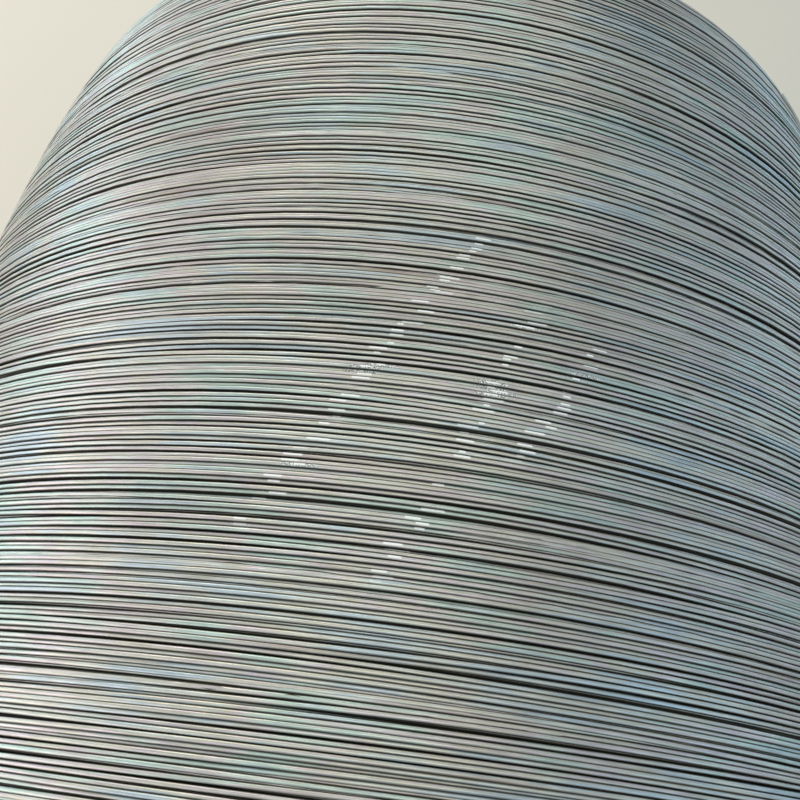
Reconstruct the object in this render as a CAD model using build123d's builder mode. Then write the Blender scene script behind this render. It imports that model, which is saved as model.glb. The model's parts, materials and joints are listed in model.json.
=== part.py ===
from build123d import *
import os
from math import asin, cos, degrees, radians, sin

# A large bare coil of round steel wire rod, lying on its side on the floor.
# The coil is one length of rod wound in close turns, and is made as one turned solid with its bore.
# Millimetres, +Z up. The coil's axis runs along Y, and the origin is on the floor under its middle.

# Driving dimensions
rod_diameter = 4.5
outer_diameter = 1350.0
bore_diameter = 850.0
coil_length = 1400.0

# The wound surface swells a little towards mid-length, and falls away faster towards each end.
crown_radius = 5400.0
shoulder_radius = 1200.0

# At the corner the layers end one inside the next, which leaves a rounding made of narrow flats.
corner_radius = 90.0
corner_start_angle = 13.0
corner_flats = 7
bore_chamfer = 12.0

# On the ends the turns stand in round ridges, three layers to a ridge, with a furrow between two.
ridge_pitch = 3 * rod_diameter
furrow_depth = rod_diameter

outer_radius = outer_diameter / 2
bore_radius = bore_diameter / 2
half_length = coil_length / 2

# The crown arc turns as far as the shoulder and the corner leave it of the half length.
corner_start_rise = sin(radians(corner_start_angle))
length_past_crown = shoulder_radius * corner_start_rise + corner_radius * (1 - corner_start_rise)
crown_angle = degrees(asin((half_length - length_past_crown) / (crown_radius - shoulder_radius)))

coil_axis = Axis((0, 0, outer_radius), (0, 1, 0))


def corner_points(start):
    """Return the corner's points from the shoulder's end to the end face, as (radius, length) pairs."""
    centre_radius = start.X - corner_radius * cos(radians(corner_start_angle))
    centre_length = half_length - corner_radius
    step = (90 - corner_start_angle) / corner_flats
    points = []
    for flat in range(corner_flats + 1):
        angle = radians(corner_start_angle + flat * step)
        point_radius = centre_radius + corner_radius * cos(angle)
        point_length = centre_length + corner_radius * sin(angle)
        points.append((point_radius, point_length))
    return points


def end_face_points(outer_limit, inner_limit):
    """Return the end face's points from the outside in: ridges side by side, and a flat land at each edge."""
    ridge_count = int((outer_limit - inner_limit) / ridge_pitch)
    land_width = (outer_limit - inner_limit - ridge_count * ridge_pitch) / 2
    points = []
    for ridge in range(ridge_count):
        crest_radius = outer_limit - land_width - ridge * ridge_pitch
        points.append((crest_radius, half_length))
        points.append((crest_radius - ridge_pitch / 2, half_length - furrow_depth))
    points.append((inner_limit + land_width, half_length))
    points.append((inner_limit, half_length))
    return points


with BuildPart() as wire_coil:
    with BuildSketch(Plane.XY.offset(outer_radius)):
        with BuildLine():
            crown = JernArc((outer_radius, 0), (0, 1), crown_radius, crown_angle)
            shoulder = JernArc(crown @ 1, crown % 1, shoulder_radius, corner_start_angle - crown_angle)
            corner = Polyline(*corner_points(shoulder @ 1))
            end_face = Polyline(corner @ 1, *end_face_points((corner @ 1).X, bore_radius + bore_chamfer))
            Polyline(end_face @ 1, (bore_radius, half_length - bore_chamfer), (bore_radius, 0))
            mirror(about=Plane.XZ)
        make_face()
    revolve(axis=coil_axis)

os.makedirs("parts", exist_ok=True)
wire_coil.part.label = "wire_coil"
export_step(wire_coil.part, "parts/wire_coil.step")
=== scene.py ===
import json
import math

import bpy
import numpy as np
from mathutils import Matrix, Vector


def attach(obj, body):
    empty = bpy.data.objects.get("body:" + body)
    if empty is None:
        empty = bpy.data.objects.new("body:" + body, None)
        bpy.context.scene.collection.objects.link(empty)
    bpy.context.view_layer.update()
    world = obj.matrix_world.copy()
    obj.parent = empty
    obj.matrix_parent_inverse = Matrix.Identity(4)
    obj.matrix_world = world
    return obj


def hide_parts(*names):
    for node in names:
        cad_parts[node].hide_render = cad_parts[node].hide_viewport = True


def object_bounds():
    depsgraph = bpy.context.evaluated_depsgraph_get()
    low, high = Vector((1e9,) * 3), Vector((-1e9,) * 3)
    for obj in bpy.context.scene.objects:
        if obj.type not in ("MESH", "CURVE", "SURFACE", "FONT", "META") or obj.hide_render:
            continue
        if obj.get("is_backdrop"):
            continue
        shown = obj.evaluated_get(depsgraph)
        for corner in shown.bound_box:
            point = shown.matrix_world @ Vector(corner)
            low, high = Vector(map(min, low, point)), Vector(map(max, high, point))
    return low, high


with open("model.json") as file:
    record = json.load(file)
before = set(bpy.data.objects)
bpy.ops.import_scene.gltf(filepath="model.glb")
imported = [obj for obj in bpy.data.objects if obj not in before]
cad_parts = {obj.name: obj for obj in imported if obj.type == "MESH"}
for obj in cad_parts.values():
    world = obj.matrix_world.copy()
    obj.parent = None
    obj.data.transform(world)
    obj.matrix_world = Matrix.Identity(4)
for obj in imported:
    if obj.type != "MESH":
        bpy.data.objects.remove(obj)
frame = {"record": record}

# A large bare coil of round steel wire rod lying on its side, in metres.
# Its axis runs along Y. Each visible turn of the rod is a real tube laid on the coil's outline.

bl_info = {
    "name": "Wire rod coil",
    "version": (1, 0, 0),
    "blender": (4, 5, 0),
    "location": "3D View > Sidebar > Coil",
    "description": "Lays the turns of a coil of steel wire rod and sets its stage",
    "category": "Add Mesh",
}

MILLIMETRE = 0.001
COIL_NODE = "wire_coil"

# The coil's main sizes come from the frame: its eye, its end faces and its box.
MOUNTS = {mount["name"]: mount for mount in frame["record"]["mounts"]}
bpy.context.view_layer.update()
AXIS_HEIGHT = MOUNTS["eye"]["pos_m"][2]
OUTER_RADIUS = AXIS_HEIGHT
EYE_RADIUS = MOUNTS["eye"]["dims"]["r_mm"] * MILLIMETRE
HALF_LENGTH = MOUNTS["end_face"]["pos_m"][1]
EYE_CHAMFER = 0.012

# Numbers of the outline's stretches, from mid-length round the end to mid-eye; the crown is 0.
SHOULDER, CORNER, END_FACE, EYE_EDGE, EYE_WALL = range(1, 6)

# How far the highest turns stay inside the coil's outline.
CLEARANCE = 0.0003

# The turns of the ends lie on ridges, so many layers of rod to a ridge.
LAYERS_IN_RIDGE = 3

# How each group of turns is laid: samples are points to a turn, sides the section's corners.
# Wander, quiver, bundle and swell move a turn sideways, and rise lifts it, all in metres. Nearest is
# the least distance between neighbours. Sunk is how many rod diameters deeper the group lies.
OUTER_LAY = {
    "samples": 120,
    "sides": 6,
    "wander": 0.0012,
    "quiver": 0.0009,
    "bundle": 0.0014,
    "swell": 0.0007,
    "rise": 0.0002,
    "nearest": 0.0036,
    "sunk": 0.0,
    "ridged": False,
}
SUNK_LAY = {
    "samples": 72,
    "sides": 4,
    "wander": 0.001,
    "quiver": 0.0,
    "bundle": 0.0,
    "swell": 0.001,
    "rise": 0.0,
    "nearest": 0.0042,
    "sunk": 0.6,
    "ridged": False,
}
END_LAY = {
    "samples": 112,
    "sides": 6,
    "wander": 0.0006,
    "quiver": 0.0002,
    "bundle": 0.0003,
    "swell": 0.0,
    "rise": 0.0016,
    "nearest": 0.0042,
    "sunk": 0.0,
    "ridged": True,
}
EYE_LAY = {
    "samples": 72,
    "sides": 5,
    "wander": 0.0006,
    "quiver": 0.0002,
    "bundle": 0.0003,
    "swell": 0.0004,
    "rise": 0.0005,
    "nearest": 0.0042,
    "sunk": 0.0,
    "ridged": False,
}
OUTER_SEED = 11
SUNK_SEED = 23
END_SEEDS = {"near": 31, "far": 37}
EYE_SEEDS = {"near": 41, "far": 43}

# Which way along the axis the two ends of the coil face.
SIDES_OF_COIL = {"near": -1, "far": 1}

# How far a sideways or upward movement holds along the rod, as a share of one turn round the coil.
LONG_REACH = 0.09
SHORT_REACH = 0.025
RISES_PER_TURN = 7

# Neighbouring turns drift together in bundles: how many turns are in one, how far a drift holds.
FEWEST_IN_BUNDLE = 3
MOST_IN_BUNDLE = 9
BUNDLE_REACH = 0.08

# Drift and rise fade out near the seam, where one turn passes into the next under the coil.
BUNDLE_FADE = 0.12
RISE_FADE = 0.02

# The waves of the swell: their length across the turns, how often they go round, and their number.
SHORTEST_SWELL = 0.04
LONGEST_SWELL = 0.22
MOST_SWELL_ROUNDS = 4
SWELL_WAVES = 14

# Turns that come too close are pushed apart bit by bit, and then evened out over a few samples.
PUSH_ROUNDS = 40
PUSH_SHARE = 0.3
EVENING_REACH = 1.5

# The rod's loose end: where its cut end lies, how far round it runs, and how far it drifts inward.
# It rides over the turns and dives under them at last, by shares of the rod's diameter.
LOOSE_END_ANGLE = math.radians(43.0)
LOOSE_END_SWEEP = math.radians(95)
LOOSE_END_DRIFT = 0.02
LOOSE_END_SAMPLES = 81
LOOSE_END_SIDES = 12
LOOSE_END_RIDE = 0.8
LOOSE_END_DIVE = 1.2
DIVE_START = 0.7
DIVE_SPAN = 0.25

# How far the section's corners crowd towards its outward side.
SECTION_PULL = -0.27

# The core, painted dark as shade: its depth in rod diameters under the lowest turns, and its rows
# and columns.
CORE_DEPTH = 1.15
CORE_ROWS = 120
CORE_COLUMNS = 64

# The rod's finishes: how metallic they are, and how much of the flanks is darkened with painted
# shade.
BRIGHT_FINISH = ("bright_rod", 0.8, 0.95)
SUNK_FINISH = ("sunk_rod", 0.3, 1.0)
LOOSE_FINISH = ("loose_rod", 0.3, 0.0)

# Neighbouring turns lie this far apart in the finish's noise.
TURN_STEP = 3.17

# What the oxide film's thickness is made of, and how much brown lies in stretches and in zones.
BROAD_FILM = 0.6
FINE_FILM = 0.8
FILM_BASE = -0.7
STAIN_IN_STRETCHES = 0.60
STAIN_IN_ZONES = 0.22

# A fine mottle makes the tint darker and lighter between these shares.
MOTTLE_DARK = 0.80
MOTTLE_LIGHT = 1.12

# Roughness is a least value and what noise adds to it.
ROD_ROUGHNESS = 0.34
ROD_ROUGHNESS_SPREAD = 0.16
DEEP_ROUGHNESS = 0.45
DEEP_ROUGHNESS_SPREAD = 0.4

# The drawn streaks of the rod and the stripes of the deeper layers stand up this far.
DRAWN_HEIGHT = 0.0001
STRIPE_HEIGHT = 0.002
STRIPE_SCALE = (4.0, 160.0, 4.0)

# Rows of worn nicks painted white as glints on top of the coil: angle at mid-length, slant per
# metre, and first and last place.
GLINT_NICK_ROWS = (
    (-0.097, 0.82, -0.115, 0.195),
    (0.060, 0.60, -0.145, 0.125),
    (0.138, 0.80, -0.035, 0.100),
)
GLINT_NICK_SCATTER = 0.022
SHORTEST_GLINT_NICK = 0.0035
LONGEST_GLINT_NICK = 0.011
GLINT_ROW_FADE = 0.02

# Each row draws its own nicks, and its own patches of scuffs, which are part matt; the bright specks
# of the scuffs are painted glints.
GLINT_NICK_SEED_STEP = 0.31
PATCH_SEED_STEP = 1.7
PATCHES_PER_METRE = 45.0
SCUFF_GLINT_MATT = 0.6

# The nicks sit this far to one side of the rod's crest, in radians, on the far side that faces the
# far lights, where the painted glints fall.
GLINT_NICK_SIDE = 0.28

# Sockets of the colour mixing node, which has a pair of sockets for every kind of data.
MIX_FACTOR, MIX_FIRST, MIX_SECOND = 0, 6, 7
MIX_RESULT = 2

# Soft panels of light: name, place, width and height, power, and colour.
PANELS = (
    ("far_panel", (-0.2, 3.4, 3.9), (4.0, 0.8), 25.0, (1.0, 0.95, 0.82)),
    ("left_far_panel", (-2.6, 4.6, 3.0), (2.4, 2.0), 68.0, (1.0, 0.91, 0.79)),
    ("left_near_panel", (-3.6, -1.4, 2.4), (6.0, 1.8), 76.0, (1.0, 0.895, 0.89)),
    ("left_low_panel", (-4.2, 2.2, 1.3), (2.0, 1.0), 25.0, (0.64, 0.86, 1.0)),
    ("right_near_panel", (3.4, -2.0, 2.8), (2.5, 1.8), 17.0, (0.34, 0.63, 1.0)),
    ("right_low_panel", (4.2, 2.2, 1.5), (1.6, 1.2), 12.0, (0.38, 0.68, 1.0)),
    ("overhead_panel", (0.0, -0.9, 4.2), (2.5, 2.0), 20.5, (1.0, 0.95, 0.80)),
)
FLOOR_SIZE = 30.0
SENSOR_WIDTH = 36.0


class CoilSizes(bpy.types.PropertyGroup):
    """Sizes of the rod and of the coil's outline."""

    rod_diameter: bpy.props.FloatProperty(
        name="Rod diameter",
        description="Thickness of the round rod",
        default=0.0045,
        unit="LENGTH",
    )
    turn_spacing: bpy.props.FloatProperty(
        name="Turn spacing",
        description="Mean distance between outer turns",
        default=0.00442,
        unit="LENGTH",
    )
    crown_radius: bpy.props.FloatProperty(
        name="Crown radius",
        description="Lengthways arc of the swelling middle",
        default=5.4,
        unit="LENGTH",
    )
    shoulder_radius: bpy.props.FloatProperty(
        name="Shoulder radius",
        description="Lengthways arc of the shoulders",
        default=1.2,
        unit="LENGTH",
    )
    corner_radius: bpy.props.FloatProperty(
        name="Corner radius",
        description="Rounding from the side to the ends",
        default=0.09,
        unit="LENGTH",
    )
    corner_start: bpy.props.FloatProperty(
        name="Corner start",
        description="Slope where the corner begins",
        default=math.radians(13),
        subtype="ANGLE",
    )
    eye_edge_radius: bpy.props.FloatProperty(
        name="Eye edge radius",
        description="Rounding from the ends into the eye",
        default=0.021,
        unit="LENGTH",
    )
    highest_rise: bpy.props.FloatProperty(
        name="Highest rise",
        description="How far a turn may ride up over its neighbours",
        default=0.0019,
        unit="LENGTH",
    )


class CoilColours(bpy.types.PropertyGroup):
    """Colours of the rod's finish."""

    bright_steel: bpy.props.FloatVectorProperty(
        name="Bright steel",
        description="Clean rod",
        default=(0.655, 0.675, 0.615),
        subtype="COLOR",
    )
    mint_sheen: bpy.props.FloatVectorProperty(
        name="Mint sheen",
        description="Greenish oxide film",
        default=(0.56, 0.68, 0.60),
        subtype="COLOR",
    )
    lilac_sheen: bpy.props.FloatVectorProperty(
        name="Lilac sheen",
        description="Pinkish oxide film",
        default=(0.668, 0.598, 0.61),
        subtype="COLOR",
    )
    straw_sheen: bpy.props.FloatVectorProperty(
        name="Straw sheen",
        description="Warm oxide film",
        default=(0.66, 0.635, 0.535),
        subtype="COLOR",
    )
    blue_sheen: bpy.props.FloatVectorProperty(
        name="Blue sheen",
        description="Cool oxide film",
        default=(0.555, 0.635, 0.662),
        subtype="COLOR",
    )
    rust_brown: bpy.props.FloatVectorProperty(
        name="Rust brown",
        description="Stained stretches",
        default=(0.29, 0.205, 0.165),
        subtype="COLOR",
    )
    # Rubbed metal painted near-white as glints, on the nicks and on the bright specks of scuffs.
    rubbed_glint: bpy.props.FloatVectorProperty(
        name="Worn bright",
        description="Freshly rubbed metal",
        default=(1.0, 1.0, 0.97),
        subtype="COLOR",
    )
    # Painted shade on the rod's flanks, where neighbouring turns shade the grooves; the same colour
    # makes the dark specks of scuffs.
    shade_and_speck_dark: bpy.props.FloatVectorProperty(
        name="Groove dark",
        description="Dark oxide on the rod's flanks",
        default=(0.078, 0.074, 0.058),
        subtype="COLOR",
    )
    # The deeper layers of steel rod are painted near-black as shade, in darker and lighter stripes.
    deep_shade_dark: bpy.props.FloatVectorProperty(
        name="Deep dark",
        description="Darkest stripes of the deeper layers",
        default=(0.025, 0.025, 0.022),
        subtype="COLOR",
    )
    deep_shade_pale: bpy.props.FloatVectorProperty(
        name="Deep light",
        description="Lightest stripes of the deeper layers",
        default=(0.079, 0.077, 0.061),
        subtype="COLOR",
    )


class StageSettings(bpy.types.PropertyGroup):
    """Camera, floor and sky of the stage."""

    camera_place: bpy.props.FloatVectorProperty(
        name="Camera place",
        description="Where the camera stands",
        default=(0.0, -0.2816, 1.9555),
        subtype="XYZ",
    )
    camera_turn: bpy.props.FloatVectorProperty(
        name="Camera turn",
        description="Which way the camera points",
        default=(math.radians(25.51), math.radians(-2.24), math.radians(7.07)),
        subtype="EULER",
    )
    camera_lens: bpy.props.FloatProperty(
        name="Camera lens",
        description="Focal length",
        default=38.23,
        unit="CAMERA",
    )
    floor_colour: bpy.props.FloatVectorProperty(
        name="Floor colour",
        description="Pale floor",
        default=(0.78, 0.71, 0.60),
        subtype="COLOR",
    )
    floor_roughness: bpy.props.FloatProperty(
        name="Floor roughness",
        description="How matt the floor is",
        default=0.8,
        subtype="FACTOR",
    )
    sky_colour: bpy.props.FloatVectorProperty(
        name="Sky colour",
        description="Light from all round",
        default=(0.775, 0.915, 1.0),
        subtype="COLOR",
    )
    sky_strength: bpy.props.FloatProperty(
        name="Sky strength",
        description="How bright the sky is",
        default=0.53,
    )


class Arc:
    """A stretch of the outline that turns about a centre; angles start from straight outwards."""

    def __init__(self, centre, radius, first_angle, turn):
        self.centre = centre
        self.radius = radius
        self.first_angle = first_angle
        self.span = radius * turn

    def at(self, along):
        """Return radius, length and the outward normal at distances along the stretch."""
        angle = self.first_angle + along / self.radius
        normal_radius = np.cos(angle)
        normal_length = np.sin(angle)
        radius = self.centre[0] + self.radius * normal_radius
        length = self.centre[1] + self.radius * normal_length
        return radius, length, normal_radius, normal_length


class Line:
    """A straight stretch of the outline, from a first point in a direction."""

    def __init__(self, first, direction, span):
        self.first = first
        self.direction = direction
        self.span = span

    def at(self, along):
        """Return radius, length and the outward normal at distances along the stretch."""
        radius = self.first[0] + self.direction[0] * along
        length = self.first[1] + self.direction[1] * along
        normal_radius = np.full_like(along, self.direction[1])
        normal_length = np.full_like(along, -self.direction[0])
        return radius, length, normal_radius, normal_length


def outline(sizes):
    """Return the outline's stretches from mid-length round the end to mid-eye.

    Points are (radius, length) pairs.
    """
    corner_start = sizes.corner_start
    rise = math.sin(corner_start)
    past_crown = sizes.shoulder_radius * rise + sizes.corner_radius * (1 - rise)
    crown_length = HALF_LENGTH - past_crown
    crown_angle = math.asin(crown_length / (sizes.crown_radius - sizes.shoulder_radius))
    crown_end = (
        OUTER_RADIUS - sizes.crown_radius * (1 - math.cos(crown_angle)),
        sizes.crown_radius * math.sin(crown_angle),
    )
    shoulder_centre = (
        crown_end[0] - sizes.shoulder_radius * math.cos(crown_angle),
        crown_end[1] - sizes.shoulder_radius * math.sin(crown_angle),
    )
    shoulder_fall = math.cos(crown_angle) - math.cos(corner_start)
    shoulder_end = crown_end[0] - sizes.shoulder_radius * shoulder_fall
    corner_centre = (
        shoulder_end - sizes.corner_radius * math.cos(corner_start),
        HALF_LENGTH - sizes.corner_radius,
    )
    edge = sizes.eye_edge_radius
    edge_centre = (EYE_RADIUS + edge, HALF_LENGTH - edge)
    quarter = math.pi / 2
    return [
        Arc((OUTER_RADIUS - sizes.crown_radius, 0.0), sizes.crown_radius, 0.0, crown_angle),
        Arc(shoulder_centre, sizes.shoulder_radius, crown_angle, corner_start - crown_angle),
        Arc(corner_centre, sizes.corner_radius, corner_start, quarter - corner_start),
        Line((corner_centre[0], HALF_LENGTH), (-1.0, 0.0), corner_centre[0] - edge_centre[0]),
        Arc(edge_centre, edge, quarter, quarter),
        Line((EYE_RADIUS, HALF_LENGTH - edge), (0.0, -1.0), HALF_LENGTH - edge),
    ]


def outline_lengths(sizes):
    """Return the distance from mid-length to the end of each stretch of the outline."""
    return np.cumsum([stretch.span for stretch in outline(sizes)])


def outline_at(sizes, distance):
    """Return radius, length and the outward normal at signed distances along the outline."""
    side = np.where(distance < 0, -1.0, 1.0)
    ahead = np.abs(distance)
    found = np.zeros((4, len(ahead)))
    start = 0.0
    stretches = outline(sizes)
    for stretch in stretches:
        is_last = stretch is stretches[-1]
        here = (ahead >= start) & ((ahead < start + stretch.span) | is_last)
        found[:, here] = stretch.at(ahead[here] - start)
        start += stretch.span
    radius, length, normal_radius, normal_length = found
    return radius, length * side, normal_radius, normal_length * side


def smoothed(values, reach):
    """Return values blurred along their length by a bell curve of that reach, in samples."""
    width = math.ceil(3 * reach)
    taps = np.arange(-width, width + 1)
    bell = np.exp(-0.5 * (taps / reach) ** 2)
    padded = np.pad(values, width, mode="edge")
    return np.convolve(padded, bell / bell.sum(), mode="valid")


def wander(random, count, reach):
    """Return smooth random values with a spread of 1."""
    rough = smoothed(random.standard_normal(count), reach)
    return rough / rough.std()


def seam_fade(step, reach):
    """Return 0 at the seam between two turns, and 1 where a point is further off than reach."""
    from_seam = np.minimum(step % 1.0, 1 - step % 1.0)
    return np.clip(from_seam / reach, 0, 1)


def bundle_drift(random, turns, samples):
    """Return how bundles of neighbouring turns drift sideways together, fading at the seam."""
    members = random.integers(FEWEST_IN_BUNDLE, MOST_IN_BUNDLE + 1, turns)
    bundle_of_turn = np.repeat(np.arange(turns), members)[:turns]
    bundles = bundle_of_turn[-1] + 1
    drifts = [wander(random, samples, samples * BUNDLE_REACH) for _ in range(bundles)]
    fade = seam_fade(np.arange(samples) / samples, BUNDLE_FADE)
    drift = np.array(drifts)[bundle_of_turn] * fade
    return np.append(drift.ravel(), 0.0)


def swell(random, distance, angle):
    """Return a smooth random field over the coil's surface, of waves that close round the coil."""
    field = np.zeros_like(distance)
    for _ in range(SWELL_WAVES):
        rounds = random.integers(-MOST_SWELL_ROUNDS, MOST_SWELL_ROUNDS + 1)
        wave_length = random.uniform(SHORTEST_SWELL, LONGEST_SWELL)
        phase = random.uniform(0, 2 * math.pi)
        field += np.sin(rounds * angle + 2 * math.pi * distance / wave_length + phase)
    return field / math.sqrt(SWELL_WAVES / 2)


def pushed_apart(place, samples, nearest):
    """Return rising places, with the turns that lie too close pushed apart."""
    for _ in range(PUSH_ROUNDS):
        gap = place[samples:] - place[:-samples]
        push = np.maximum(nearest - gap, 0) * PUSH_SHARE
        place[samples:] += push
        place[:-samples] -= push
    return smoothed(place, EVENING_REACH)


def lay_turns(sizes, first, last, spacing, seed, lay):
    """Wind the rod along the outline from first to last and return its centre line."""
    random = np.random.default_rng(seed)
    samples = lay["samples"]
    turns = max(2, round(abs(last - first) / spacing))
    count = turns * samples + 1
    step = np.arange(count) / samples
    angle = 2 * math.pi * (step % 1.0) - math.pi
    place = first + (last - first) * step / turns
    direction = 1.0 if last > first else -1.0
    place = place + lay["wander"] * wander(random, count, round(samples * LONG_REACH))
    place = place + lay["quiver"] * wander(random, count, round(samples * SHORT_REACH))
    place = place + lay["bundle"] * bundle_drift(random, turns, samples)
    place = place + lay["swell"] * swell(random, place, angle)
    place = pushed_apart(place * direction, samples, lay["nearest"])
    rise = rise_over_neighbours(random, place, turns, samples, sizes.rod_diameter)
    rise = rise + lay["rise"] * np.abs(wander(random, count, samples // RISES_PER_TURN))
    rise = smoothed(rise * seam_fade(step, RISE_FADE), EVENING_REACH)
    place = place * direction
    lowest = sizes.highest_rise + lay["sunk"] * sizes.rod_diameter
    depth = CLEARANCE + sizes.rod_diameter / 2 + lowest - np.clip(rise, 0, lowest)
    if lay["ridged"]:
        depth = depth + ridge_depth(sizes, place)
    return centre_line(sizes, place, angle, depth, np.floor(step))


def centre_line(sizes, place, angle, depth, turn):
    """Return what the sweep needs of a rod's centre line, at a depth below the outline."""
    radius, length, normal_radius, normal_length = outline_at(sizes, place)
    radius = radius - normal_radius * depth
    length = length - normal_length * depth
    sine, cosine = np.sin(angle), np.cos(angle)
    points = np.stack([radius * sine, length, AXIS_HEIGHT + radius * cosine], axis=1)
    outward = np.stack([normal_radius * sine, normal_length, normal_radius * cosine], axis=1)
    travelled = np.linalg.norm(np.diff(points, axis=0), axis=1)
    return {
        "points": points,
        "outward": outward,
        "along": np.concatenate([[0.0], np.cumsum(travelled)]),
        "coil_place": np.stack([angle, length, turn], axis=1),
    }


def lay_loose_end(sizes):
    """Lay the rod's loose end over the far shoulder, from its cut end to where it dives under."""
    share = np.linspace(0.0, 1.0, LOOSE_END_SAMPLES)
    angle = LOOSE_END_ANGLE + LOOSE_END_SWEEP * share
    place = outline_lengths(sizes)[SHOULDER] - LOOSE_END_DRIFT * share
    resting = sizes.rod_diameter / 2 + sizes.highest_rise - LOOSE_END_RIDE * sizes.rod_diameter
    dive = np.clip((share - DIVE_START) / DIVE_SPAN, 0, 1) ** 2
    depth = resting + LOOSE_END_DIVE * sizes.rod_diameter * dive
    return centre_line(sizes, place, angle, depth, np.zeros_like(share))


def ridge_depth(sizes, place):
    """Return how far the turns of the ends lie below the outline, on ridges of several layers."""
    lengths = outline_lengths(sizes)
    flat_start = lengths[CORNER]
    flat_end = lengths[END_FACE] + sizes.eye_edge_radius - EYE_CHAMFER
    pitch = LAYERS_IN_RIDGE * sizes.rod_diameter
    ridges = int((flat_end - flat_start) / pitch)
    land = (flat_end - flat_start - ridges * pitch) / 2
    from_land = np.abs(place) - flat_start - land
    from_crest = np.abs(from_land / pitch - np.round(from_land / pitch)) * pitch
    on_ridges = (from_land > 0) & (from_land < ridges * pitch)
    return np.where(on_ridges, sizes.rod_diameter * from_crest / (pitch / 2), 0.0)


def rise_over_neighbours(random, place, turns, samples, diameter):
    """Return how high each point of the rod rides, where turns lie closer than a diameter."""
    rows = place[: turns * samples].reshape(turns, samples)
    rise = np.zeros_like(rows)
    laid = np.zeros(turns, bool)
    for turn in random.permutation(turns):
        for other in (turn - 2, turn - 1, turn + 1, turn + 2):
            if 0 <= other < turns and laid[other]:
                apart = np.abs(rows[turn] - rows[other])
                climb = np.sqrt(np.maximum(diameter**2 - apart**2, 0))
                lifted = np.where(apart < diameter, rise[other] + climb, 0)
                rise[turn] = np.maximum(rise[turn], lifted)
        laid[turn] = True
    return np.append(rise.ravel(), rise[-1, -1])


def add_node(tree, kind, inputs, **settings):
    """Add a node; inputs maps a socket's name or number to a value or to another socket."""
    node = tree.nodes.new(kind)
    for name, value in settings.items():
        setattr(node, name, value)
    for key, value in inputs.items():
        if isinstance(value, bpy.types.NodeSocket):
            tree.links.new(value, node.inputs[key])
        else:
            node.inputs[key].default_value = value
    return node


def compute(tree, operation, *values):
    """Return the result of a maths node on values or sockets."""
    inputs = dict(enumerate(values))
    return add_node(tree, "ShaderNodeMath", inputs, operation=operation).outputs[0]


def store_attribute(tree, geometry, name, value):
    """Return the geometry with a number stored on its points."""
    inputs = {"Geometry": geometry, "Name": name, "Value": value}
    kind = "GeometryNodeStoreNamedAttribute"
    return add_node(tree, kind, inputs, data_type="FLOAT", domain="POINT").outputs["Geometry"]


def rod_section(tree, radius, sides):
    """Return the rod's round section as a curve, with more of its points on the outward side."""
    inputs = {"Resolution": sides, "Radius": 1.0}
    circle = add_node(tree, "GeometryNodeCurvePrimitiveCircle", inputs).outputs["Curve"]
    place = add_node(tree, "GeometryNodeInputPosition", {}).outputs["Position"]
    split = add_node(tree, "ShaderNodeSeparateXYZ", {"Vector": place}).outputs
    angle = compute(tree, "ARCTAN2", split["Y"], split["X"])
    pull = compute(tree, "MULTIPLY", split["Y"], SECTION_PULL)
    angle = compute(tree, "ADD", angle, pull)
    cosine = compute(tree, "COSINE", angle)
    sine = compute(tree, "SINE", angle)
    marked = store_attribute(tree, circle, "facing", cosine)
    marked = store_attribute(tree, marked, "around", angle)
    spot = add_node(tree, "ShaderNodeCombineXYZ", {"X": cosine, "Y": sine}).outputs["Vector"]
    inputs = {"Vector": spot, "Scale": radius}
    spot = add_node(tree, "ShaderNodeVectorMath", inputs, operation="SCALE").outputs["Vector"]
    inputs = {"Geometry": marked, "Position": spot}
    return add_node(tree, "GeometryNodeSetPosition", inputs).outputs["Geometry"]


def rod_sweep_tree():
    """Return the node tree that sweeps the rod's section along its guide line, made once."""
    if "rod_sweep" in bpy.data.node_groups:
        return bpy.data.node_groups["rod_sweep"]
    tree = bpy.data.node_groups.new("rod_sweep", "GeometryNodeTree")
    for name, in_out, kind in (
        ("Geometry", "INPUT", "NodeSocketGeometry"),
        ("Rod Radius", "INPUT", "NodeSocketFloat"),
        ("Rod Sides", "INPUT", "NodeSocketInt"),
        ("Rod Finish", "INPUT", "NodeSocketMaterial"),
        ("Geometry", "OUTPUT", "NodeSocketGeometry"),
    ):
        tree.interface.new_socket(name, in_out=in_out, socket_type=kind)
    given = tree.nodes.new("NodeGroupInput").outputs
    line = add_node(tree, "GeometryNodeMeshToCurve", {"Mesh": given["Geometry"]})
    kind = "GeometryNodeInputNamedAttribute"
    outward = add_node(tree, kind, {"Name": "outward"}, data_type="FLOAT_VECTOR")
    inputs = {"Curve": line.outputs["Curve"], "Normal": outward.outputs["Attribute"]}
    line = add_node(tree, "GeometryNodeSetCurveNormal", inputs, mode="FREE")
    section = rod_section(tree, given["Rod Radius"], given["Rod Sides"])
    inputs = {"Curve": line.outputs["Curve"], "Profile Curve": section, "Fill Caps": True}
    sweep = add_node(tree, "GeometryNodeCurveToMesh", inputs)
    smooth = add_node(tree, "GeometryNodeSetShadeSmooth", {"Geometry": sweep.outputs["Mesh"]})
    inputs = {"Geometry": smooth.outputs["Geometry"]}
    realized = add_node(tree, "GeometryNodeRealizeInstances", inputs)
    inputs = {"Geometry": realized.outputs["Geometry"], "Material": given["Rod Finish"]}
    finish = add_node(tree, "GeometryNodeSetMaterial", inputs)
    add_node(tree, "NodeGroupOutput", {"Geometry": finish.outputs["Geometry"]})
    return tree


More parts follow.
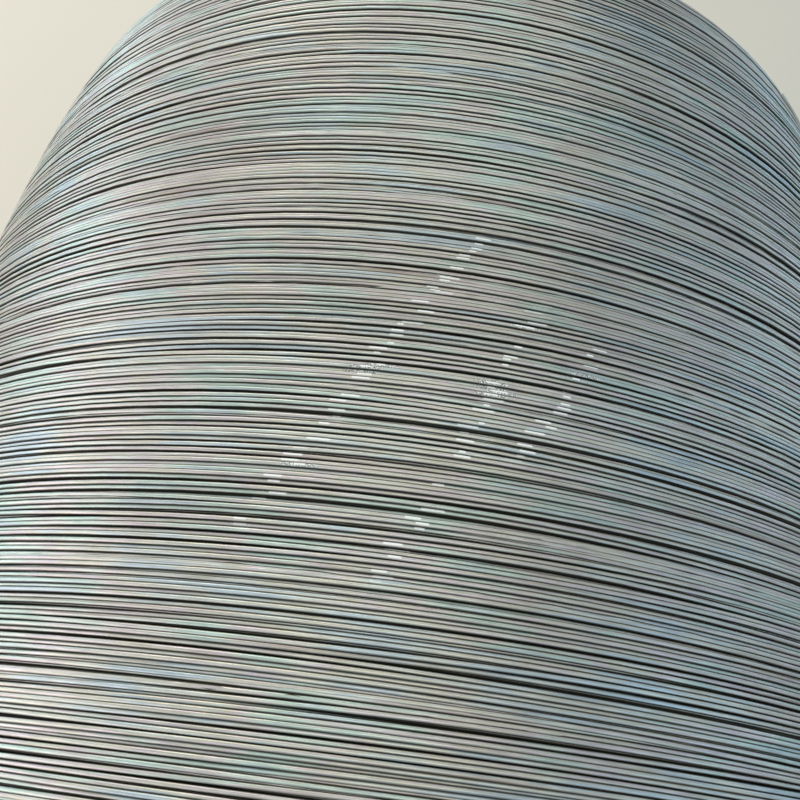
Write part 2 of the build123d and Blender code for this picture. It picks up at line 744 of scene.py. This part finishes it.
def guide_line(name, laid):
    """Return an object whose edges run along the rod's centre, with what the sweep needs on it."""
    mesh = bpy.data.meshes.new(name)
    points = laid["points"]
    edges = np.stack([np.arange(len(points) - 1), np.arange(1, len(points))], axis=1)
    mesh.from_pydata(points.tolist(), edges.tolist(), [])
    for layer_name in ("outward", "coil_place"):
        layer = mesh.attributes.new(layer_name, "FLOAT_VECTOR", "POINT")
        layer.data.foreach_set("vector", laid[layer_name].astype(np.float32).ravel())
    layer = mesh.attributes.new("along", "FLOAT", "POINT")
    layer.data.foreach_set("value", laid["along"].astype(np.float32))
    guide = bpy.data.objects.new(name, mesh)
    bpy.context.scene.collection.objects.link(guide)
    return guide


def place_piece(name, mesh):
    """Put a finished mesh in the scene as one piece of the coil."""
    piece = bpy.data.objects.new(name, mesh)
    bpy.context.scene.collection.objects.link(piece)
    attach(piece, "root")
    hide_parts(COIL_NODE)


def sweep_rod(name, laid, radius, sides, finish):
    """Make one piece of rod along a laid centre line, as a plain mesh."""
    guide = guide_line(name + "_guide", laid)
    modifier = guide.modifiers.new("rod_sweep", "NODES")
    modifier.node_group = rod_sweep_tree()
    values = {"Rod Radius": radius, "Rod Sides": sides, "Rod Finish": finish}
    for item in modifier.node_group.interface.items_tree:
        if item.in_out == "INPUT" and item.name in values:
            modifier[item.identifier] = values[item.name]
    evaluated = guide.evaluated_get(bpy.context.evaluated_depsgraph_get())
    mesh = bpy.data.meshes.new_from_object(evaluated)
    mesh.name = name
    bpy.data.objects.remove(guide)
    place_piece(name, mesh)


def rising(tree, value, low, high):
    """Return 0 to 1 as value goes smoothly from low to high; high may be the smaller."""
    inputs = {"Value": value, "From Min": low, "From Max": high}
    kind = "ShaderNodeMapRange"
    return add_node(tree, kind, inputs, interpolation_type="SMOOTHSTEP").outputs[0]


def blend(tree, factor, first, second, blend_type="MIX"):
    """Return the mix of two colours."""
    inputs = {MIX_FACTOR: factor, MIX_FIRST: first, MIX_SECOND: second}
    mix = add_node(tree, "ShaderNodeMix", inputs, data_type="RGBA", blend_type=blend_type)
    return mix.outputs[MIX_RESULT]


def noise(tree, vector, detail, roughness=0.5):
    """Return fractal noise at a vector that is already scaled."""
    inputs = {"Vector": vector, "Scale": 1.0, "Detail": detail, "Roughness": roughness}
    return add_node(tree, "ShaderNodeTexNoise", inputs, noise_dimensions="3D").outputs[0]


def attribute(tree, name):
    """Return a node that reads an attribute of the rod."""
    return add_node(tree, "ShaderNodeAttribute", {}, attribute_name=name)


def opaque(colour):
    """Return a colour as four numbers."""
    return (*colour, 1.0)


def grey(level):
    """Return a grey as four numbers."""
    return (level, level, level, 1.0)


def new_material(name):
    """Return a new material, its node tree and its shader."""
    made = bpy.data.materials.new(name)
    made.use_nodes = True
    return made, made.node_tree, made.node_tree.nodes["Principled BSDF"]


class RodSpace:
    """What the rod's finish reads: metres along the rod, angle round it, and place on the coil."""

    def __init__(self, tree):
        self.tree = tree
        self.along = attribute(tree, "along").outputs["Fac"]
        self.around = attribute(tree, "around").outputs["Fac"]
        self.facing = attribute(tree, "facing").outputs["Fac"]
        place = attribute(tree, "coil_place").outputs["Vector"]
        split = add_node(tree, "ShaderNodeSeparateXYZ", {"Vector": place})
        self.coil_angle, self.coil_length, self.turn = split.outputs

    def joined(self, x, y, z):
        """Return a vector of three values or sockets."""
        return add_node(self.tree, "ShaderNodeCombineXYZ", {"X": x, "Y": y, "Z": z}).outputs[0]

    def stretched(self, per_metre, per_radian, offset):
        """Return a vector that changes along the rod and round it, and from turn to turn."""
        along = compute(self.tree, "MULTIPLY", self.along, per_metre)
        around = compute(self.tree, "MULTIPLY", self.around, per_radian)
        turn = compute(self.tree, "MULTIPLY_ADD", self.turn, TURN_STEP, offset)
        return self.joined(along, around, turn)

    def zones(self, per_radian, per_metre, offset):
        """Return a vector that changes over the coil's surface, and is alike on near turns."""
        angle = compute(self.tree, "MULTIPLY", self.coil_angle, per_radian)
        length = compute(self.tree, "MULTIPLY", self.coil_length, per_metre)
        return self.joined(angle, length, offset)


def film_colour(rod, colours):
    """Return bright steel under an oxide film whose colour changes with its thickness."""
    tree = rod.tree
    fine_place = rod.stretched(per_metre=11.0, per_radian=0.5, offset=0.0)
    fine = noise(tree, fine_place, detail=3.0, roughness=0.6)
    broad_place = rod.stretched(per_metre=1.6, per_radian=0.15, offset=50.0)
    broad = noise(tree, broad_place, detail=1.0)
    zone = noise(tree, rod.zones(per_radian=5.0, per_metre=24.0, offset=7.3), detail=2.0)
    thickness = compute(tree, "MULTIPLY_ADD", fine, FINE_FILM, FILM_BASE)
    thickness = compute(tree, "MULTIPLY_ADD", broad, BROAD_FILM, thickness)
    thickness = compute(tree, "ADD", zone, thickness)
    film = add_node(tree, "ShaderNodeValToRGB", {"Fac": thickness})
    film.color_ramp.interpolation = "EASE"
    elements = film.color_ramp.elements
    ready_made = len(elements)
    stops = (
        (0.26, colours.blue_sheen),
        (0.36, colours.bright_steel),
        (0.44, colours.straw_sheen),
        (0.51, colours.lilac_sheen),
        (0.58, colours.bright_steel),
        (0.66, colours.mint_sheen),
        (0.78, colours.blue_sheen),
    )
    for number, (spot, colour) in enumerate(stops):
        element = elements[number] if number < ready_made else elements.new(spot)
        element.position = spot
        element.color = opaque(colour)
    return film.outputs["Color"]


def rod_tint(rod, colours):
    """Return the rod's colour: the oxide film, brown stains on it, and a fine mottle."""
    tree = rod.tree
    stain_place = rod.stretched(per_metre=3.1, per_radian=0.25, offset=90.0)
    stain_noise = noise(tree, stain_place, detail=3.0, roughness=0.6)
    stain = rising(tree, stain_noise, low=0.56, high=0.74)
    zone_noise = noise(tree, rod.zones(per_radian=2.6, per_metre=9.0, offset=0.4), detail=2.0)
    zone = rising(tree, zone_noise, low=0.40, high=0.68)
    zone = compute(tree, "MULTIPLY", zone, STAIN_IN_ZONES)
    stain = compute(tree, "MULTIPLY_ADD", stain, STAIN_IN_STRETCHES, zone)
    tint = blend(tree, stain, film_colour(rod, colours), opaque(colours.rust_brown))
    mottle_place = rod.stretched(per_metre=38.0, per_radian=1.1, offset=130.0)
    mottle_noise = noise(tree, mottle_place, detail=4.0, roughness=0.65)
    mottle = rising(tree, mottle_noise, low=0.25, high=0.75)
    shade = blend(tree, mottle, grey(MOTTLE_DARK), grey(MOTTLE_LIGHT))
    return blend(tree, 1.0, tint, shade, "MULTIPLY")


def glint_nick_row(rod, number, row):
    """Return one row's two masks: a short worn nick painted white as a glint on some of its turns,
    and speckled scuffs with painted glints.
    """
    tree = rod.tree
    angle, slant, first, last = row
    whole_turn = compute(tree, "ROUND", rod.turn)
    seed = compute(tree, "ADD", whole_turn, GLINT_NICK_SEED_STEP * number)
    chance = add_node(tree, "ShaderNodeTexWhiteNoise", {"W": seed}, noise_dimensions="1D")
    parts = add_node(tree, "ShaderNodeSeparateColor", {0: chance.outputs["Color"]}).outputs
    centre = compute(tree, "MULTIPLY_ADD", rod.coil_length, slant, angle)
    centre = compute(tree, "MULTIPLY_ADD", parts[0], GLINT_NICK_SCATTER, centre)
    off = compute(tree, "ABSOLUTE", compute(tree, "SUBTRACT", rod.coil_angle, centre))
    reach = compute(tree, "MULTIPLY_ADD", parts[1], LONGEST_GLINT_NICK, SHORTEST_GLINT_NICK)
    near = rising(tree, compute(tree, "DIVIDE", off, reach), low=1.1, high=0.8)
    present = rising(tree, parts[2], low=0.61, high=0.59)
    begun = rising(tree, rod.coil_length, first, first + GLINT_ROW_FADE)
    not_over = rising(tree, rod.coil_length, last, last - GLINT_ROW_FADE)
    inside = compute(tree, "MULTIPLY", begun, not_over)
    nick_glint = compute(tree, "MULTIPLY", compute(tree, "MULTIPLY", near, present), inside)
    patch_place = rod.joined(rod.coil_length, PATCH_SEED_STEP * number, 0.0)
    inputs = {"Vector": patch_place, "Scale": PATCHES_PER_METRE}
    patch_place = add_node(tree, "ShaderNodeVectorMath", inputs, operation="SCALE").outputs[0]
    patch = rising(tree, noise(tree, patch_place, detail=1.0), low=0.60, high=0.66)
    close = rising(tree, off, low=0.026, high=0.014)
    scuff_glint = compute(tree, "MULTIPLY", compute(tree, "MULTIPLY", patch, close), inside)
    return nick_glint, scuff_glint


def glints_on_nicks_and_scuffs(rod):
    """Return the masks of worn nicks painted as glints on the crests and of scuffs with painted
    glints, in three slanting rows.
    """
    tree = rod.tree
    nick_glints = 0.0
    scuff_glints = 0.0
    for number, row in enumerate(GLINT_NICK_ROWS):
        nick_glint, scuff_glint = glint_nick_row(rod, number, row)
        nick_glints = compute(tree, "MAXIMUM", nick_glints, nick_glint)
        scuff_glints = compute(tree, "MAXIMUM", scuff_glints, scuff_glint)
    far_side = compute(tree, "ABSOLUTE", compute(tree, "ADD", rod.around, GLINT_NICK_SIDE))
    crest = rising(tree, far_side, low=0.49, high=0.38)
    upper = rising(tree, rod.facing, low=0.70, high=0.85)
    return compute(tree, "MULTIPLY", nick_glints, crest), compute(tree, "MULTIPLY", scuff_glints, upper)


def rod_finish(name, metallic, flank_shade_share):
    """Return the rod's finish of that name, made once: tinted crests, painted shade on the flanks,
    and worn spots painted white as glints.
    """
    if name in bpy.data.materials:
        return bpy.data.materials[name]
    colours = bpy.context.scene.coil_colours
    made, tree, shader = new_material(name)
    rod = RodSpace(tree)
    # Painted shade: the rod darkens from its crest down its flanks, into the grooves between turns.
    flank_shade = rising(tree, rod.facing, low=0.89, high=0.48)
    flank_shade = compute(tree, "MULTIPLY", flank_shade, flank_shade_share)
    colour = blend(tree, flank_shade, rod_tint(rod, colours), opaque(colours.shade_and_speck_dark))
    # Painted glints: the nicks and the bright specks of the scuffs are painted near-white and made
    # matt.
    nick_glint, scuff_glint = glints_on_nicks_and_scuffs(rod)
    speckle_place = rod.stretched(per_metre=900.0, per_radian=3.5, offset=250.0)
    speckle = rising(tree, noise(tree, speckle_place, detail=1.0), low=0.42, high=0.58)
    glint_specks = blend(tree, speckle, opaque(colours.shade_and_speck_dark), opaque(colours.rubbed_glint))
    colour = blend(tree, scuff_glint, colour, glint_specks)
    colour = blend(tree, nick_glint, colour, opaque(colours.rubbed_glint))
    tree.links.new(colour, shader.inputs["Base Color"])
    rough_place = rod.stretched(per_metre=20.0, per_radian=1.0, offset=170.0)
    rough = noise(tree, rough_place, detail=3.0)
    rough = compute(tree, "MULTIPLY_ADD", rough, ROD_ROUGHNESS_SPREAD, ROD_ROUGHNESS)
    tree.links.new(rough, shader.inputs["Roughness"])
    glint_matt = compute(tree, "MAXIMUM", nick_glint, compute(tree, "MULTIPLY", scuff_glint, SCUFF_GLINT_MATT))
    still_metal = compute(tree, "MULTIPLY_ADD", glint_matt, -metallic, metallic)
    tree.links.new(still_metal, shader.inputs["Metallic"])
    drawn_place = rod.stretched(per_metre=12.0, per_radian=7.0, offset=210.0)
    drawn = noise(tree, drawn_place, detail=2.0, roughness=0.6)
    inputs = {"Height": drawn, "Strength": 0.25, "Distance": DRAWN_HEIGHT}
    bump = add_node(tree, "ShaderNodeBump", inputs)
    tree.links.new(bump.outputs["Normal"], shader.inputs["Normal"])
    return made


def deep_finish(name):
    """Return the matt finish of the deeper layers, painted dark as shade, in dim stripes that run
    round the coil.
    """
    colours = bpy.context.scene.coil_colours
    made, tree, shader = new_material(name)
    place = add_node(tree, "ShaderNodeTexCoord", {}).outputs["Object"]
    inputs = {0: place, 1: STRIPE_SCALE}
    squeezed = add_node(tree, "ShaderNodeVectorMath", inputs, operation="MULTIPLY").outputs[0]
    stripes = noise(tree, squeezed, detail=3.0, roughness=0.6)
    stripe = rising(tree, stripes, low=0.35, high=0.65)
    colour = blend(tree, stripe, opaque(colours.deep_shade_dark), opaque(colours.deep_shade_pale))
    tree.links.new(colour, shader.inputs["Base Color"])
    rough = compute(tree, "MULTIPLY_ADD", stripes, DEEP_ROUGHNESS_SPREAD, DEEP_ROUGHNESS)
    tree.links.new(rough, shader.inputs["Roughness"])
    inputs = {"Height": stripes, "Strength": 0.6, "Distance": STRIPE_HEIGHT}
    bump = add_node(tree, "ShaderNodeBump", inputs)
    tree.links.new(bump.outputs["Normal"], shader.inputs["Normal"])
    return made


def floor_finish(name, settings):
    """Return the floor's plain matt material."""
    made, _, shader = new_material(name)
    shader.inputs["Base Color"].default_value = opaque(settings.floor_colour)
    shader.inputs["Roughness"].default_value = settings.floor_roughness
    return made


def lay_both_sides(sizes, name, stretches, seeds, lay):
    """Lay turns between the ends of two stretches of the outline, at both ends of the coil."""
    first, last = outline_lengths(sizes)[list(stretches)]
    finish = rod_finish(*BRIGHT_FINISH)
    for part, side in SIDES_OF_COIL.items():
        laid = lay_turns(sizes, side * first, side * last, sizes.rod_diameter, seeds[part], lay)
        sweep_rod(name + part, laid, sizes.rod_diameter / 2, lay["sides"], finish)


class LayOuterTurns(bpy.types.Operator):
    """Lay the turns of the coil's outer surface, from one end's corner to the other's."""

    bl_idname = "coil.lay_outer_turns"
    bl_label = "Lay outer turns"

    def execute(self, context):
        sizes = context.scene.coil_sizes
        edge = outline_lengths(sizes)[CORNER]
        laid = lay_turns(sizes, -edge, edge, sizes.turn_spacing, OUTER_SEED, OUTER_LAY)
        samples = OUTER_LAY["samples"]
        turns = len(laid["points"]) // samples
        finish = rod_finish(*BRIGHT_FINISH)
        parts = ("near", "middle", "far")
        for number, part in enumerate(parts):
            first = turns * number // len(parts)
            last = turns * (number + 1) // len(parts)
            rows = slice(first * samples, last * samples + 1)
            stretch = {name: values[rows] for name, values in laid.items()}
            radius = sizes.rod_diameter / 2
            sweep_rod("outer_turns_" + part, stretch, radius, OUTER_LAY["sides"], finish)
        return {"FINISHED"}


class LaySunkTurns(bpy.types.Operator):
    """Lay the layer of turns that shows through the gaps of the outer one."""

    bl_idname = "coil.lay_sunk_turns"
    bl_label = "Lay sunk turns"

    def execute(self, context):
        sizes = context.scene.coil_sizes
        edge = outline_lengths(sizes)[SHOULDER]
        laid = lay_turns(sizes, -edge, edge, sizes.rod_diameter, SUNK_SEED, SUNK_LAY)
        finish = rod_finish(*SUNK_FINISH)
        sweep_rod("sunk_turns", laid, sizes.rod_diameter / 2, SUNK_LAY["sides"], finish)
        return {"FINISHED"}


class LayLooseEnd(bpy.types.Operator):
    """Lay the rod's loose end, which rests on the turns of the coil's far shoulder."""

    bl_idname = "coil.lay_loose_end"
    bl_label = "Lay loose end"

    def execute(self, context):
        sizes = context.scene.coil_sizes
        laid = lay_loose_end(sizes)
        finish = rod_finish(*LOOSE_FINISH)
        sweep_rod("loose_end", laid, sizes.rod_diameter / 2, LOOSE_END_SIDES, finish)
        return {"FINISHED"}


class LayEndTurns(bpy.types.Operator):
    """Lay the turns of both end faces, from the corner in to the eye."""

    bl_idname = "coil.lay_end_turns"
    bl_label = "Lay end turns"

    def execute(self, context):
        sizes = context.scene.coil_sizes
        lay_both_sides(sizes, "end_turns_", (CORNER, EYE_EDGE), END_SEEDS, END_LAY)
        return {"FINISHED"}


class LayEyeTurns(bpy.types.Operator):
    """Lay the turns of the wall of the eye, from each end to the middle."""

    bl_idname = "coil.lay_eye_turns"
    bl_label = "Lay eye turns"

    def execute(self, context):
        sizes = context.scene.coil_sizes
        lay_both_sides(sizes, "eye_turns_", (EYE_EDGE, EYE_WALL), EYE_SEEDS, EYE_LAY)
        return {"FINISHED"}


class TurnCore(bpy.types.Operator):
    """Turn the body of deeper layers behind the visible turns, painted dark as shade."""

    bl_idname = "coil.turn_core"
    bl_label = "Turn core"

    def execute(self, context):
        sizes = context.scene.coil_sizes
        whole = outline_lengths(sizes)[EYE_WALL]
        spots = np.linspace(-whole, whole, CORE_ROWS + 1)[:-1]
        radius, length, normal_radius, normal_length = outline_at(sizes, spots)
        depth = sizes.highest_rise + CORE_DEPTH * sizes.rod_diameter
        radius = radius - normal_radius * depth
        length = length - normal_length * depth
        angle = np.arange(CORE_COLUMNS) * 2 * math.pi / CORE_COLUMNS
        across = np.outer(np.sin(angle), radius)
        lengthways = np.outer(np.ones(CORE_COLUMNS), length)
        upward = AXIS_HEIGHT + np.outer(np.cos(angle), radius)
        points = np.stack([across, lengthways, upward], axis=2).reshape(-1, 3)
        faces = []
        for column in range(CORE_COLUMNS):
            here = column * CORE_ROWS
            onward = (column + 1) % CORE_COLUMNS * CORE_ROWS
            for row in range(CORE_ROWS):
                after = (row + 1) % CORE_ROWS
                faces.append((here + row, here + after, onward + after, onward + row))
        mesh = bpy.data.meshes.new("coil_core")
        mesh.from_pydata(points.tolist(), [], faces)
        mesh.shade_smooth()
        mesh.materials.append(deep_finish("deep_rod"))
        place_piece("coil_core", mesh)
        return {"FINISHED"}


class SetStage(bpy.types.Operator):
    """Set the pale floor, the lights and the camera."""

    bl_idname = "coil.set_stage"
    bl_label = "Set stage"

    def execute(self, context):
        scene = context.scene
        settings = scene.coil_stage
        low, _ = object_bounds()
        bpy.ops.mesh.primitive_plane_add(size=FLOOR_SIZE, location=(0.0, 0.0, low.z))
        floor = context.active_object
        floor.name = "floor"
        floor.data.materials.append(floor_finish("pale_floor", settings))
        floor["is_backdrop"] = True
        sky = bpy.data.worlds.new("soft_sky")
        sky.use_nodes = True
        background = sky.node_tree.nodes["Background"]
        background.inputs["Color"].default_value = opaque(settings.sky_colour)
        background.inputs["Strength"].default_value = settings.sky_strength
        scene.world = sky
        scene.view_settings.view_transform = "Standard"
        for panel in PANELS:
            self.add_light(scene, *panel)
        self.add_camera(scene, settings)
        return {"FINISHED"}

    def add_light(self, scene, name, place, size, power, colour):
        """Add a soft panel of light that points at the coil's middle."""
        data = bpy.data.lights.new(name, "AREA")
        data.shape = "RECTANGLE"
        data.size, data.size_y = size
        data.energy = power
        data.color = colour
        light = bpy.data.objects.new(name, data)
        light.location = place
        aim = light.location.copy()
        aim.z -= AXIS_HEIGHT
        light.rotation_euler = aim.to_track_quat("Z", "Y").to_euler()
        scene.collection.objects.link(light)

    def add_camera(self, scene, settings):
        """Add the camera at the photograph's angle."""
        data = bpy.data.cameras.new("camera")
        data.lens = settings.camera_lens
        data.sensor_width = SENSOR_WIDTH
        camera = bpy.data.objects.new("camera", data)
        camera.location = settings.camera_place
        camera.rotation_euler = settings.camera_turn
        scene.collection.objects.link(camera)
        scene.camera = camera


class CoilPanel(bpy.types.Panel):
    """Lists the coil's steps in the 3D view's sidebar."""

    bl_idname = "VIEW3D_PT_coil"
    bl_label = "Wire rod coil"
    bl_space_type = "VIEW_3D"
    bl_region_type = "UI"
    bl_category = "Coil"

    def draw(self, context):
        for step in STEPS:
            self.layout.operator(step.bl_idname)


STEPS = (TurnCore, LaySunkTurns, LayOuterTurns, LayLooseEnd, LayEndTurns, LayEyeTurns, SetStage)
GROUPS = {"coil_sizes": CoilSizes, "coil_colours": CoilColours, "coil_stage": StageSettings}


def register():
    """Register the classes and hang the settings on the scene."""
    for name, group in GROUPS.items():
        bpy.utils.register_class(group)
        setattr(bpy.types.Scene, name, bpy.props.PointerProperty(type=group))
    for step in (*STEPS, CoilPanel):
        bpy.utils.register_class(step)


def unregister():
    """Take away what register added."""
    for step in (CoilPanel, *STEPS[::-1]):
        bpy.utils.unregister_class(step)
    for name, group in GROUPS.items():
        delattr(bpy.types.Scene, name)
        bpy.utils.unregister_class(group)


def main():
    """Build the coil and its stage."""
    register()
    bpy.ops.coil.turn_core()
    bpy.ops.coil.lay_sunk_turns()
    bpy.ops.coil.lay_outer_turns()
    bpy.ops.coil.lay_loose_end()
    bpy.ops.coil.lay_end_turns()
    bpy.ops.coil.lay_eye_turns()
    bpy.ops.coil.set_stage()


if __name__ == "__main__":
    main()
